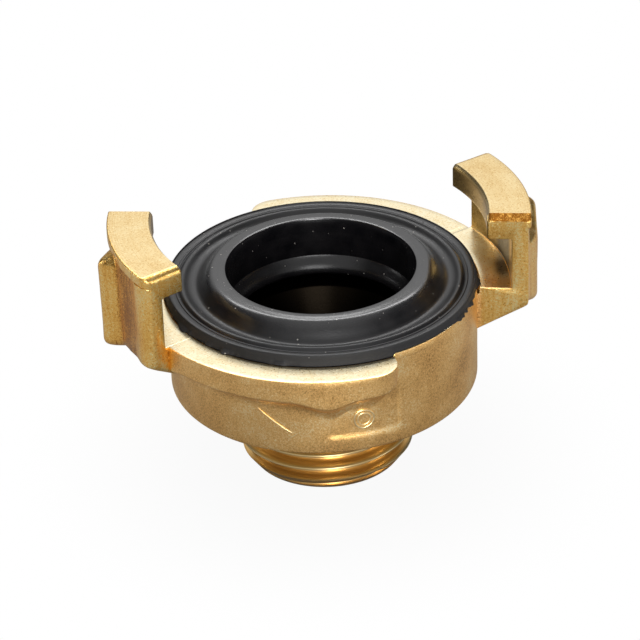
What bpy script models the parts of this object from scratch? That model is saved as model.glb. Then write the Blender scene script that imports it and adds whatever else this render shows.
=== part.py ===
"""Claw hose coupling, 40 mm between the claws, with a G 1/2 male thread.

+Z is the water axis, pointing out of the sealing face. Z = 0 is the end of the
threaded spigot. The two claws are centred on +X and -X. Lengths below are in
millimetres and are turned into metres once, in mesh_object.
"""

import math

import bmesh
import bpy

MM = 0.001

# Heights, from the spigot end upwards
SPIGOT_LENGTH = 11.2
DRUM_HEIGHT = 11.55
SLOT_HEIGHT = 6.5         # from the turned top face to the underside of a claw lip
LIP_THICK = 3.15
TOP_FACE = SPIGOT_LENGTH + DRUM_HEIGHT
LIP_UNDER = TOP_FACE + SLOT_HEIGHT
LIP_TOP = LIP_UNDER + LIP_THICK

# Radii, from the claws inwards
CLAW_SPACING = 40.0       # across the lips, the size that lets couplings mate
LIP_REACH = 2.35          # how far a lip hooks in over the slot
WEB_THICK = 2.15
FLANGE_CLEAR = 0.35       # from the flange to the web of the coupling it turns into
LIP_IN_R = CLAW_SPACING / 2
WEB_IN_R = LIP_IN_R + LIP_REACH
LIP_OUT_R = WEB_IN_R + WEB_THICK
FLANGE_R = WEB_IN_R - FLANGE_CLEAR
DRUM_R = 18.3
DRUM_ROUND = 0.9          # forged edge at the drum's lower end
RECESS_CLEAR = 0.4        # the turned recess for the ring's rim is this much wider than the drum
RECESS_DEPTH = 0.3        # and this far below the flanges' top face
RECESS_R = DRUM_R + RECESS_CLEAR
REST_FACE = TOP_FACE - RECESS_DEPTH

# Forged outside of a claw. Angles are in degrees from the middle of the claw.
CLAW_HALF = 21.5
HOLLOW = 0.1              # hollow between the finger rib and the corner
RIB_AT, RIB_HALF, RIB_OUT = -11.5, 13.0, 1.35
CORNER_AT, CORNER_HALF, CORNER_OUT = 18.0, 4.5, 0.25
CLAW_BELOW = 2.2          # from the top face down to the lower edge of the outside
RIB_LOWER = 1.8           # how far the rib's foot hangs below that edge
RIB_FOOT_SPREAD = 24.0
FOOT_ROUND = 0.75
KNEE_ROOM = 0.4           # least width of the sloped underside
TURNED_BAND = 1.1         # height of the turned band round the lip
BAND_EDGE = 0.25          # step below that band
LIP_EDGE = 0.12           # broken lower edge inside the lip
LIP_CHAMFER = 0.45        # top inner edge of the lip
END_ROUND = 1.1           # upright corners of the claw's two ends
TOP_ROUND = 0.7

# Cam flange: from inside the claw to its free end, in degrees from the claw
FLANGE_INSIDE = 4.5       # it starts this far inside the claw
FLANGE_FROM, FLANGE_TO = CLAW_HALF - FLANGE_INSIDE, 100.0
FLANGE_THICK = 2.7        # at its outer face
FLANGE_EDGE = 0.3         # rounded lower edge
ROOT_DROP, TIP_RISE = 0.4, 0.35
FLANGE_DIP_AT, FLANGE_DIP = 76.0, 0.95
FLANGE_END_ROUND = 3.3
UNDER_SLOPE = 0.57        # rise of the forged underside per mm of radius
UNDER_BELOW = 3.15        # from the top face down to that underside, at FLANGE_R
BURIED = 1.1              # how far the forged shapes reach into the drum wall

# G 1/2 male thread
THREAD_R = 20.955 / 2
THREAD_PITCH = 25.4 / 14
THREAD_ANGLE = 55.0
THREAD_FLANK = math.tan(math.radians(THREAD_ANGLE / 2))
THREAD_DEPTH = THREAD_PITCH / 3 / THREAD_FLANK
THREAD_CREST = THREAD_PITCH / 6
THREAD_BELOW = 0.5        # the ridge starts this far below the spigot end
THREAD_RELIEF = 1.0       # and ends this far below the drum
THREAD_PHASE = 186.3      # degrees at which the ridge starts
END_CHAMFER = 1.58        # takes the crest off at the spigot end, at 45 degrees
UNDERCUT_DEPTH = 0.4      # step in the shoulder round the thread, so that a washer lies flat
UNDERCUT_CLEAR = 0.5
CORE_R = THREAD_R - THREAD_DEPTH

# Waterway and seat inside the body
SPIGOT_WALL = 1.57        # between the bore and the root of the thread
BORE_CHAMFER = 0.5
MOUTH_IN = 0.8            # the waterway just below the ring is this much narrower than the ring
MOUTH_HEIGHT = 1.6
FUNNEL_HEIGHT = 3.4
SEAT_DEPTH = 4.55         # from the top face down to the seat's floor
SEAT_WALL = 3.3           # drum wall round the neck of the seat
NECK_HEIGHT = 0.85        # straight part of that neck
GROOVE_DEPTH = 1.3        # undercut that holds the foot of the ring
GROOVE_BEVEL = 0.5
SEAT_CHAMFER = 0.4
BORE_R = CORE_R - SPIGOT_WALL
SEAT_R = DRUM_R - SEAT_WALL
SEAT_FLOOR = TOP_FACE - SEAT_DEPTH
GROOVE_TOP = REST_FACE - SEAT_CHAMFER - NECK_HEIGHT - GROOVE_BEVEL
GROOVE_R = SEAT_R + GROOVE_DEPTH

# Sealing ring
FIT_GAP = 0.3             # kept all round between the ring and the body
RIM_SHORT = 0.1           # the rim ends this far inside the drum's outside
RIM_RISE = 1.25           # top of the rim above the turned face
RIM_ROUND = 0.15
LINE_IN, LINE = 0.7, 0.14 # fine moulded line, from the rim's edge inwards, and its size
RIDGE_IN, RIDGE_OUT, RIDGE_HALF = 1.3, 0.12, 0.45
TROUGH_IN, TROUGH, TROUGH_HALF = 3.25, 0.52, 1.5
BEAD_RISE = 1.45          # raised inner bead above the rim
BEAD_WIDTH = 3.0
BEAD_CREST = 0.95         # from the bore to the bead's highest point
BEAD_EDGE = 0.35          # rounded edge at the bore
RING_WIDTH = 3.8          # from the neck to the ring's bore
FOOT_LIP_IN = 1.35        # lip inside the foot of the ring
FOOT_LIP = 2.4            # height of that lip
RING_BORE_R = SEAT_R - RING_WIDTH
MOUTH_R = RING_BORE_R - MOUTH_IN
FOOT_BORE_R = RING_BORE_R - FOOT_LIP_IN
RIM_R = DRUM_R - RIM_SHORT
RIM_TOP = TOP_FACE + RIM_RISE

TO_TURN = 0.6             # forged stock that the turning cut takes off the top face
TOOL_REACH = 2.0          # how far the cutting tools stand clear of the body
SEGMENTS = 96


def bump(x, centre, before, after):
    """A smooth rise from 0 to 1 and back, over these widths on each side of the centre."""
    t = (x - centre) / (before if x < centre else after)
    return 0.5 * (1 + math.cos(math.pi * t)) if abs(t) < 1 else 0.0


def rounding(distance, radius):
    """How far a rounded edge has dropped at this distance from its end."""
    t = min(1.0, max(0.0, distance / radius))
    return radius * (1 - math.sqrt(1 - (1 - t) ** 2))


def mesh_object(name, points, faces, helper=False):
    bm = bmesh.new()
    verts = [bm.verts.new([c * MM for c in p]) for p in points]
    for face in faces:
        bm.faces.new([verts[i] for i in face])
    bmesh.ops.recalc_face_normals(bm, faces=bm.faces)
    mesh = bpy.data.meshes.new(name)
    bm.to_mesh(mesh)
    bm.free()
    obj = bpy.data.objects.new(name, mesh)
    bpy.context.scene.collection.objects.link(obj)
    if helper:
        obj.hide_render = True
        obj.display_type = "WIRE"
    return obj


def at(radius, degrees, height):
    a = math.radians(degrees)
    return (radius * math.cos(a), radius * math.sin(a), height)


def turned(name, profile, helper=False, segments=SEGMENTS):
    """A closed (radius, height) outline turned about Z. It never touches the axis."""
    n = len(profile)
    points = [at(r, 360 * k / segments, z) for k in range(segments) for r, z in profile]
    faces = [
        (k * n + i, k * n + (i + 1) % n, (k + 1) % segments * n + (i + 1) % n, (k + 1) % segments * n + i)
        for k in range(segments)
        for i in range(n)
    ]
    return mesh_object(name, points, faces, helper)


def turned_solid(name, profile, helper=True, segments=SEGMENTS):
    """An open (radius, height) outline turned about Z, closed by flat ends."""
    n = len(profile)
    points = [at(r, 360 * k / segments, z) for k in range(segments) for r, z in profile]
    faces = [
        (k * n + i, k * n + i + 1, (k + 1) % segments * n + i + 1, (k + 1) % segments * n + i)
        for k in range(segments)
        for i in range(n - 1)
    ]
    faces += [[k * n for k in range(segments)], [k * n + n - 1 for k in range(segments)]]
    return mesh_object(name, points, faces, helper)


def swept(name, sections, helper=True):
    """Sections are (angle, outline) with equally many (radius, height) points."""
    n = len(sections[0][1])
    points = [at(r, angle, z) for angle, outline in sections for r, z in outline]
    faces = [
        (s * n + i, s * n + (i + 1) % n, (s + 1) * n + (i + 1) % n, (s + 1) * n + i)
        for s in range(len(sections) - 1)
        for i in range(n)
    ]
    faces += [list(range(n)), [(len(sections) - 1) * n + i for i in range(n)]]
    return mesh_object(name, points, faces, helper)


def underside(radius):
    return TOP_FACE - UNDER_BELOW + UNDER_SLOPE * (radius - FLANGE_R)


def claw_section(angle):
    """Outline of a claw blank. The slot and the lip bore are turned out of it later."""
    from_end = math.radians(CLAW_HALF - abs(angle)) * LIP_OUT_R
    top = LIP_TOP - rounding(from_end, TOP_ROUND)
    forged = LIP_OUT_R - HOLLOW + RIB_OUT * bump(angle, RIB_AT, RIB_HALF, RIB_HALF)
    forged += CORNER_OUT * bump(angle, CORNER_AT, CORNER_HALF, CORNER_HALF)
    forged -= 0.75 * rounding(from_end, END_ROUND)
    lip = min(LIP_OUT_R, forged)
    rib = forged - lip
    low = TOP_FACE - CLAW_BELOW - RIB_LOWER * bump(angle, RIB_AT + 1, RIB_HALF, RIB_FOOT_SPREAD)
    low += 0.4 * rounding(from_end, END_ROUND)
    inner = DRUM_R - BURIED
    knee = FLANGE_R + (low - underside(FLANGE_R)) / UNDER_SLOPE
    knee = min(max(knee, inner + KNEE_ROOM), forged - FOOT_ROUND - 0.6 * KNEE_ROOM)
    band = min(LIP_TOP - TURNED_BAND, top - TOP_ROUND)
    return [
        (inner, underside(inner)),
        (knee, underside(knee)),
        (forged - FOOT_ROUND, low),
        (forged - 0.29 * FOOT_ROUND, low + 0.37 * FOOT_ROUND),
        (forged, low + 1.13 * FOOT_ROUND),
        (forged, band - BAND_EDGE - 1.4 * rib),
        (lip + 0.85 * rib, band - 0.8 * BAND_EDGE - 0.95 * rib),
        (lip, band - 0.1 * rib),
        (lip, top - 0.86 * TOP_ROUND),
        (lip - 0.24 * TOP_ROUND, top - 0.26 * TOP_ROUND),
        (lip - 0.86 * TOP_ROUND, top),
        (inner, top),
    ]


def claw_angles():
    """Even steps, then close together where each end is rounded."""
    ends = []
    for phi in (0, 22.5, 45, 67.5, 90):
        gone = END_ROUND * (1 - math.sin(math.radians(phi)))
        ends.append(CLAW_HALF - math.degrees(gone / LIP_OUT_R))
    count = 20
    inside = [-ends[0] + 2 * ends[0] * k / count for k in range(1, count)]
    inside = [a for a in inside if abs(a) < ends[0] - 0.5]
    return sorted([-a for a in ends] + inside + ends)


def flange_section(angle, drop):
    """Outline of the cam flange. The turning cut takes its top face down to TOP_FACE."""
    outer = FLANGE_R - drop
    inner = DRUM_R - BURIED
    low = TOP_FACE - FLANGE_THICK - FLANGE_DIP * bump(angle, FLANGE_DIP_AT, 12, 10)
    low -= ROOT_DROP * bump(angle, CLAW_HALF, CLAW_HALF, 7.5)
    low += TIP_RISE * bump(angle, FLANGE_TO, 16, 16) + 0.4 * drop * drop / FLANGE_END_ROUND
    return [
        (inner, low - UNDER_SLOPE * (outer - inner)),
        (outer - FLANGE_EDGE, low - FLANGE_EDGE / 6),
        (outer, low + FLANGE_EDGE),
        (outer, TOP_FACE + TO_TURN),
        (inner, TOP_FACE + TO_TURN),
    ]


def flange_sections():
    """Even steps along the flange, then a quarter round at its free end."""
    rounded = math.degrees(FLANGE_END_ROUND / (FLANGE_R - 0.4 * FLANGE_END_ROUND))
    count = 26
    length = FLANGE_TO - rounded - FLANGE_FROM
    sections = [(FLANGE_FROM + length * k / count, 0.0) for k in range(count)]
    for phi in range(0, 91, 10):
        angle = FLANGE_TO - rounded * (1 - math.sin(math.radians(phi)))
        sections.append((angle, FLANGE_END_ROUND * (1 - math.cos(math.radians(phi)))))
    return [(angle, flange_section(angle, drop)) for angle, drop in sections]


def thread_ridge(name):
    """One helical ridge, tapered into the core below the drum. The end chamfer cuts its start."""
    per_turn = 40
    length = SPIGOT_LENGTH - THREAD_RELIEF + THREAD_BELOW
    steps = round(length / THREAD_PITCH * per_turn)
    base_r = CORE_R - THREAD_DEPTH / 6
    sections = []
    for s in range(steps + 1):
        angle = THREAD_PHASE + 360 * s / per_turn
        z = THREAD_PITCH * s / per_turn - THREAD_BELOW
        crest = min(THREAD_R, CORE_R + THREAD_DEPTH * (steps - s) / (per_turn * 0.4) - THREAD_DEPTH / 24)
        half_top = THREAD_CREST / 2 + (THREAD_R - crest) * THREAD_FLANK
        half_base = THREAD_CREST / 2 + (THREAD_R - base_r) * THREAD_FLANK
        sections.append((angle, [
            (base_r, z - half_base), (crest, z - half_top), (crest, z + half_top), (base_r, z + half_base),
        ]))
    return swept(name, sections)


def ring_face(radius):
    """Height of the ring's upper face: rim, fine line, ridge, trough and inner bead."""
    from_rim, from_bore = RIM_R - radius, radius - RING_BORE_R
    z = RIM_TOP - LINE * bump(from_rim, LINE_IN, LINE, LINE)
    z += RIDGE_OUT * bump(from_rim, RIDGE_IN, RIDGE_HALF, 2 * RIDGE_HALF)
    z -= TROUGH * bump(from_rim, TROUGH_IN, TROUGH_HALF, TROUGH_HALF)
    return z + BEAD_RISE * bump(from_bore, BEAD_CREST, BEAD_CREST * 2.2, BEAD_WIDTH - BEAD_CREST)


def boolean(obj, other, operation):
    modifier = obj.modifiers.new(f"{operation.lower()} {other.name}", "BOOLEAN")
    modifier.operation = operation
    modifier.solver = "EXACT"
    modifier.object = other


def finish(obj, material):
    obj.data.materials.append(material)
    for polygon in obj.data.polygons:
        polygon.use_smooth = True
    obj.data.set_sharp_from_angle(angle=math.radians(32))


def principled(name, colour, metallic, roughness):
    material = bpy.data.materials.new(name)
    material.use_nodes = True
    shader = material.node_tree.nodes["Principled BSDF"]
    shader.inputs["Base Color"].default_value = (*colour, 1)
    shader.inputs["Metallic"].default_value = metallic
    shader.inputs["Roughness"].default_value = roughness
    return material


for old in list(bpy.data.objects):
    bpy.data.objects.remove(old)

brass = principled("Forged brass", (0.70, 0.48, 0.20), 1.0, 0.38)
rubber = principled("Black rubber", (0.018, 0.018, 0.02), 0.0, 0.5)

# Body: turned core, then the forged shapes joined to it, then the turning cuts
core = turned_solid("coupling_body", [
    (CORE_R, 0.0),
    (CORE_R, SPIGOT_LENGTH + UNDERCUT_DEPTH),
    (THREAD_R + UNDERCUT_CLEAR, SPIGOT_LENGTH + UNDERCUT_DEPTH),
    (THREAD_R + UNDERCUT_CLEAR, SPIGOT_LENGTH),
    (DRUM_R - DRUM_ROUND, SPIGOT_LENGTH),
    (DRUM_R - 0.5 * DRUM_ROUND, SPIGOT_LENGTH + 0.134 * DRUM_ROUND),
    (DRUM_R - 0.134 * DRUM_ROUND, SPIGOT_LENGTH + 0.5 * DRUM_ROUND),
    (DRUM_R, SPIGOT_LENGTH + DRUM_ROUND),
    (DRUM_R, TOP_FACE + TO_TURN),
], helper=False)
boolean(core, thread_ridge("tool_thread"), "UNION")
end_r, clear = THREAD_R - END_CHAMFER, TOOL_REACH / 4
boolean(core, turned("tool_chamfer", [
    (end_r, -TOOL_REACH), (end_r, 0.0), (THREAD_R + clear, END_CHAMFER + clear),
    (THREAD_R + TOOL_REACH, END_CHAMFER + clear), (THREAD_R + TOOL_REACH, -TOOL_REACH),
], helper=True), "DIFFERENCE")
flange = swept("tool_flange_a", flange_sections())
claw = swept("tool_claw_a", [(angle, claw_section(angle)) for angle in claw_angles()])
for first, name in ((flange, "tool_flange_b"), (claw, "tool_claw_b")):
    second = bpy.data.objects.new(name, first.data)
    second.rotation_euler.z = math.pi
    second.hide_render = True
    second.display_type = "WIRE"
    bpy.context.scene.collection.objects.link(second)
    boolean(core, first, "UNION")
    boolean(core, second, "UNION")

facing = turned_solid("tool_facing", [
    (RECESS_R, REST_FACE),
    (RECESS_R, TOP_FACE),
    (WEB_IN_R, TOP_FACE),
    (WEB_IN_R, LIP_UNDER),
    (LIP_IN_R + LIP_EDGE, LIP_UNDER),
    (LIP_IN_R, LIP_UNDER + LIP_EDGE),
    (LIP_IN_R, LIP_TOP - LIP_CHAMFER),
    (LIP_IN_R + 0.29 * LIP_CHAMFER, LIP_TOP - 0.29 * LIP_CHAMFER),
    (LIP_IN_R + LIP_CHAMFER, LIP_TOP),
    (LIP_IN_R + LIP_CHAMFER, LIP_TOP + TOOL_REACH),
])
boolean(core, facing, "DIFFERENCE")
waterway = turned_solid("tool_waterway", [
    (BORE_R + BORE_CHAMFER, -TOOL_REACH),
    (BORE_R + BORE_CHAMFER, 0.0),
    (BORE_R, BORE_CHAMFER),
    (BORE_R, SEAT_FLOOR - MOUTH_HEIGHT - FUNNEL_HEIGHT),
    (MOUTH_R, SEAT_FLOOR - MOUTH_HEIGHT),
    (MOUTH_R, SEAT_FLOOR),
    (GROOVE_R, SEAT_FLOOR),
    (GROOVE_R, GROOVE_TOP),
    (SEAT_R, GROOVE_TOP + GROOVE_BEVEL),
    (SEAT_R, REST_FACE - SEAT_CHAMFER),
    (SEAT_R + SEAT_CHAMFER, REST_FACE),
    (SEAT_R + SEAT_CHAMFER, TOP_FACE + TOOL_REACH),
])
boolean(core, waterway, "DIFFERENCE")
finish(core, brass)

# Sealing ring: foot in the groove, neck, rim over the drum, raised inner bead
foot = SEAT_FLOOR + FIT_GAP
under_rim = REST_FACE + 4 / 3 * FIT_GAP
neck_r = SEAT_R - FIT_GAP
profile = [
    (FOOT_BORE_R + 0.26 * FOOT_LIP_IN, foot),
    (GROOVE_R - FIT_GAP, foot),
    (GROOVE_R - FIT_GAP, GROOVE_TOP - 1.35 * FIT_GAP),
    (neck_r, GROOVE_TOP + GROOVE_BEVEL - 0.85 * FIT_GAP),
    (neck_r, REST_FACE - SEAT_CHAMFER + 0.5 * FIT_GAP),
    (SEAT_R + SEAT_CHAMFER, under_rim),
    (RIM_R - RIM_ROUND, under_rim),
    (RIM_R, under_rim + 0.67 * RIM_ROUND),
    (RIM_R, RIM_TOP - RIM_ROUND),
    (RIM_R - RIM_ROUND, RIM_TOP),
]
steps = [LINE_IN - LINE, LINE_IN, LINE_IN + LINE, (LINE_IN + LINE + RIDGE_IN) / 2]
steps += [RIDGE_IN + (TROUGH_IN - RIDGE_IN) * k / 5 for k in range(6)]
profile += [(RIM_R - step, ring_face(RIM_R - step)) for step in steps]
first, last = RIM_R - TROUGH_IN - BEAD_EDGE, RING_BORE_R + BEAD_EDGE
bead = [first + (last - first) * k / 8 for k in range(9)]
profile += [(radius, ring_face(radius)) for radius in bead]
lip_top = foot + FOOT_LIP
profile += [
    (RING_BORE_R, ring_face(last) - 0.85 * BEAD_EDGE),
    (RING_BORE_R, lip_top),
    (RING_BORE_R - 0.25 * FOOT_LIP_IN, lip_top - 0.2 * FOOT_LIP),
    (FOOT_BORE_R + 0.2 * FOOT_LIP_IN, lip_top - 0.4 * FOOT_LIP),
    (FOOT_BORE_R, lip_top - 0.6 * FOOT_LIP),
    (FOOT_BORE_R + 0.07 * FOOT_LIP_IN, foot + 0.15 * FOOT_LIP),
]
finish(turned("sealing_ring", profile), rubber)
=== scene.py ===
# %% [markdown]
# # A brass claw hose coupling, dressed for its portrait
# The part is a hot forging of brass with a rubber ring in its mouth. The packed CAD model gives the
# place and size of everything. This lesson rebuilds its two pieces with the rounded edges, the real
# thread and the surface finish that a plain solid leaves out, and lights them like a small studio.
#
# The first cell loads the packed model and measures its box, so that the dressed pieces can be held
# against it at the end.

# %% Load the packed model
import math

import bmesh
import bpy
from mathutils import Matrix, Vector, noise


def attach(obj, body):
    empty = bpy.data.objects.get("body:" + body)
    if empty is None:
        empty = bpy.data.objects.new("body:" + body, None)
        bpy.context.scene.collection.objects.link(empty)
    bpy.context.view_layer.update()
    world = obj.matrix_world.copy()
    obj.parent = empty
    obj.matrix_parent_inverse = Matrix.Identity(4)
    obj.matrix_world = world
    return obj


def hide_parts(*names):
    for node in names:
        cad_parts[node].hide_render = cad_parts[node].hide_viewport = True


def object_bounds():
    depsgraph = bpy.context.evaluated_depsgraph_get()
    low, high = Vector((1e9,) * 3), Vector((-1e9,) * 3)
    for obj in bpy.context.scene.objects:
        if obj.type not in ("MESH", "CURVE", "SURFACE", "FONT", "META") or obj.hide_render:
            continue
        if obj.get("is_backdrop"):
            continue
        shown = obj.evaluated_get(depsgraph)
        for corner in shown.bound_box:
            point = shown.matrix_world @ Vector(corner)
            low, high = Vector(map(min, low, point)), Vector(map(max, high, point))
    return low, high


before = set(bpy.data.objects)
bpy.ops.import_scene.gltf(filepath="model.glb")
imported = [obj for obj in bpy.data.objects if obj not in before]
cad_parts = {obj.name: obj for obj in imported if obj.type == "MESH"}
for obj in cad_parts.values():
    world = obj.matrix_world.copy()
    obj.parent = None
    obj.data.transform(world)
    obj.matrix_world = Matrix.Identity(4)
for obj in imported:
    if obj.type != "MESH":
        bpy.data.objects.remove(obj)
cad_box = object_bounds()
MM = 0.001
print("CAD box in mm:", [[round(length / MM, 2) for length in end] for end in cad_box])

# %% [markdown]
# ## Sizes
# All lengths are in millimetres, with the water axis as +Z and the spigot's end at Z = 0. Radii are
# measured from that axis. The sizes repeat the packed model, so the dressed pieces land where the solids
# are. They are turned into metres once, where a mesh is made.

# %% Sizes of the drum and the flanges
SPIGOT = 11.2  # height of the drum's foot above the spigot's end
DRUM = 18.3  # radius of the drum
FLANGE = 22.0  # radius of the two cam flanges
TOP = 22.75  # height of their turned faces
FLANGE_FROM = 17.0  # degrees from the middle of a claw to the hidden start of its flange
FLANGE_TO = 100.0  # degrees to its far end
FLANGE_END = 3.3  # how much of the radius the round end takes away
HIGH_RIM = 22.9  # height of the drum's rim where its wall is bare
LOW_RIM = 22.35  # height of the rim beside a flange or a claw
GROOVE_OUT = 18.62  # outer radius of the narrow groove between rim and flange face
GROOVE_FLOOR = 21.95
print(f"flange: {FLANGE - DRUM:.2f} mm wide, {cad_box[1][2] / MM - TOP:.2f} mm below the CAD model's top")

# %% Sizes of the claws
LIP_IN = 19.5  # inner radius of the lip
LIP_OUT = 24.65  # outer radius of the turned band round the lip
LIP_UNDER = 29.25  # height of the lip's underside, which holds the second coupling
LIP_TOP = 32.4
WEB_IN = 22.35  # inner radius of the web that carries the lip
CLAW_HALF = 21.5  # degrees from the middle of a claw to its ends
SHORT_END = 19.5  # the same for the one end that was left a little short
RIB_REACH = 25.6  # from the water axis to the flat face of the forged rib
print(f"claw: lip {LIP_TOP - LIP_UNDER:.2f} mm thick, over a slot {LIP_UNDER - TOP:.2f} mm high")

# %% Sizes of the thread and the ring
THREAD_R = 20.955 / 2  # G 1/2 measures 20.955 mm over its crests
PITCH = 25.4 / 14  # and has 14 threads to the inch
DEPTH = PITCH / 3 / math.tan(math.radians(27.5))  # two thirds of the full 55 degree triangle
CORE = THREAD_R - DEPTH
BORE = 7.75
RING_OUT = 18.2
RING_TOP = 24.0  # height of the ring's flat rim
RING_BORE = 11.2
print(f"thread: {PITCH:.3f} mm pitch, {DEPTH:.3f} mm deep, {CORE - BORE:.2f} mm of wall under it")

# %% [markdown]
# ## Helpers for outlines
# A forged shape is described by its outline in a plane through the water axis, given as (radius, height)
# points. One could also push a mesh about by hand or subdivide a rough one. An outline keeps every radius
# and height a number that can be read and changed, and that is why it was chosen. Soft swellings are
# cosine bumps, soft steps are smooth ramps, and rounded corners are short curves.

# %% Blends, bumps and steps
def mix(a, b, share):
    """The value this share of the way from a to b."""
    return a + (b - a) * share


def bump(x, centre, before, after):
    """1 at the centre, falling to 0 at these distances before and after it."""
    t = (x - centre) / (before if x < centre else after)
    return 0.5 * (1 + math.cos(math.pi * t)) if abs(t) < 1 else 0.0


def smooth(x, low, high):
    """0 below low, 1 above high, smooth between."""
    t = min(1.0, max(0.0, (x - low) / (high - low)))
    return t * t * (3 - 2 * t)


quarter = smooth(0.25, 0, 1), bump(0.25, 1, 1, 1)
print(f"a quarter of the way along, a step is at {quarter[0]:.3f} and a bump at {quarter[1]:.3f}")

# %% Points, lines, arcs and corners
def polar(radius, degrees, height):
    """A point at this radius, direction and height as x, y and z."""
    a = math.radians(degrees)
    return (radius * math.cos(a), radius * math.sin(a), height)


def line(a, b, count):
    """Points between a and b, without the two ends."""
    return [tuple(a[i] + (b[i] - a[i]) * k / (count + 1) for i in (0, 1)) for k in range(1, count + 1)]


def arc(r, z, radius, start, end, count):
    """Points on an arc round the centre (r, z), both ends included."""
    turns = [math.radians(start + (end - start) * k / (count - 1)) for k in range(count)]
    return [(r + radius * math.cos(a), z + radius * math.sin(a)) for a in turns]


def corner(before, at, after, radius, count=4):
    """A rounded corner: a quadratic curve that leaves each side at this distance from the corner."""
    def towards(p):
        length = math.dist(at, p)
        step = min(radius, 0.45 * length) / length
        return (at[0] + (p[0] - at[0]) * step, at[1] + (p[1] - at[1]) * step)

    a, b = towards(before), towards(after)
    points = []
    for k in range(count + 1):
        t = k / count
        points.append(tuple((1 - t) ** 2 * a[i] + 2 * t * (1 - t) * at[i] + t * t * b[i] for i in (0, 1)))
    return points


print("a corner with two steps:", corner((0, 4), (0, 0), (4, 0), 1.0, 2))

# %% [markdown]
# ## Meshes from outlines
# Sweeping an outline round the axis keeps every turned face truly flat or round, which a sculpted or
# remeshed body would lose. Each section has the same number of points, so the faces are neat quads.
# Every mesh prints its volume and its open edges: a closed body has none, and only closed bodies can be
# joined and cut.

# %% Make a mesh from points and faces
def mesh_piece(name, points, faces):
    mesh = bpy.data.meshes.new(name)
    mesh.from_pydata([Vector(p) * MM for p in points], [], faces)
    shell = bmesh.new()
    shell.from_mesh(mesh)
    bmesh.ops.recalc_face_normals(shell, faces=shell.faces)
    open_edges = sum(not edge.is_manifold for edge in shell.edges)
    print(f"{name}: {len(shell.faces)} faces, {shell.calc_volume() * 1e9:.1f} mm3, {open_edges} open edges")
    shell.to_mesh(mesh)
    shell.free()
    piece = bpy.data.objects.new(name, mesh)
    bpy.context.scene.collection.objects.link(piece)
    return piece


print("lengths times", MM, "become metres")

# %% Sweep and turn an outline
SEGMENTS = 192


def sweep(name, sections, closed):
    """Joins (angle, outline) sections. A closed sweep meets its own start, an open one gets end caps."""
    n = len(sections[0][1])
    assert {len(outline) for angle, outline in sections} == {n}
    points = [polar(r, angle, z) for angle, outline in sections for r, z in outline]
    last = len(sections) - (0 if closed else 1)
    faces = []
    for s in range(last):
        a, b = s * n, (s + 1) % len(sections) * n
        faces += [(b + i, b + (i + 1) % n, a + (i + 1) % n, a + i) for i in range(n)]
    if not closed:
        faces += [list(range(n)), [last * n + i for i in reversed(range(n))]]
    return mesh_piece(name, points, faces)


def turned(name, outline):
    """A solid of revolution from an open outline, closed by flat ends."""
    n = len(outline)
    points = [polar(r, 360 * k / SEGMENTS, z) for k in range(SEGMENTS) for r, z in outline]
    faces = []
    for k in range(SEGMENTS):
        a, b = k * n, (k + 1) % SEGMENTS * n
        faces += [(b + i, b + i + 1, a + i + 1, a + i) for i in range(n - 1)]
    faces += [[k * n for k in range(SEGMENTS)], [k * n + n - 1 for k in reversed(range(SEGMENTS))]]
    return mesh_piece(name, points, faces)


stray = THREAD_R * (1 - math.cos(math.pi / SEGMENTS))
print(f"{SEGMENTS} flats round the thread stray {stray:.4f} mm from a true circle")

# %% Join, cut or trim a solid
SOLVER = "MANIFOLD"


def combine(piece, tool, operation):
    """Joins, cuts or trims the piece with a tool, and takes the tool away."""
    modifier = piece.modifiers.new(operation, "BOOLEAN")
    modifier.operation, modifier.solver, modifier.object = operation, SOLVER, tool
    graph = bpy.context.evaluated_depsgraph_get()
    mesh = bpy.data.meshes.new_from_object(piece.evaluated_get(graph))
    piece.modifiers.clear()
    old, piece.data = piece.data, mesh
    bpy.data.meshes.remove(old)
    bpy.data.objects.remove(tool)
    top = max(vertex.co.z for vertex in mesh.vertices) / MM
    print(f"{operation} gives {len(mesh.polygons)} faces, up to z {top:.2f} mm")


solvers = bpy.types.BooleanModifier.bl_rna.properties["solver"].enum_items.keys()
print("boolean solvers:", list(solvers), "- used here:", SOLVER)

# %% [markdown]
# ## The drum and its two cam flanges
# On the real part the drum, the flanges and the claws are one forging, and a lathe then faces the
# flanges and cuts the seat for the rubber. Joining separate flange solids would leave slivers where they
# run into the round drum. So one closed sweep makes the drum with both flanges, and where there is no
# flange the same outline points spread out over the plain wall.
#
# In these functions turn is an angle in degrees, counted from the middle of the claw before it. The body
# repeats after 180 degrees, so one set of numbers serves both sides.

# %% The flange's round end
FLANGE_EXTRA = FLANGE - DRUM
END_ANGLE = math.degrees(FLANGE_END / (FLANGE - 0.4 * FLANGE_END))


def flange_drop(turn):
    """How far the flange's outer face has drawn in at this turn."""
    if not FLANGE_FROM <= turn <= FLANGE_TO:
        return FLANGE_EXTRA
    t = (turn - (FLANGE_TO - END_ANGLE)) / END_ANGLE
    return FLANGE_END * (1 - math.sqrt(max(0.0, 1 - t * t))) if t > 0 else 0.0


left = FLANGE_EXTRA - FLANGE_END
print(f"the flange draws in over {END_ANGLE:.1f} degrees and ends {left:.1f} mm proud of the drum")

# %% [markdown]
# ## What the die left in the wall
# A forged wall waves by a few hundredths of a millimetre, because the die wears. Under the end of one
# flange the die also pressed a shallow flat, which carries its mark. Both are small shifts of the wall's
# radius, so every outline that crosses them can simply add them, and they need no cutting.

# %% Waves and the flat for the mark
FLAT_DEPTH = 0.15
FLAT_FROM, FLAT_TO = 76.0, 102.4  # degrees from the middle of the claw on -X
FLAT_LOW, FLAT_HIGH = 13.35, 17.6


def die_wear(angle, z):
    """The slow waviness of a forged wall."""
    p = Vector(polar(DRUM, angle, z)) * 0.16
    return 0.05 * noise.noise(p) + 0.02 * noise.noise(p * 3.1)


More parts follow.
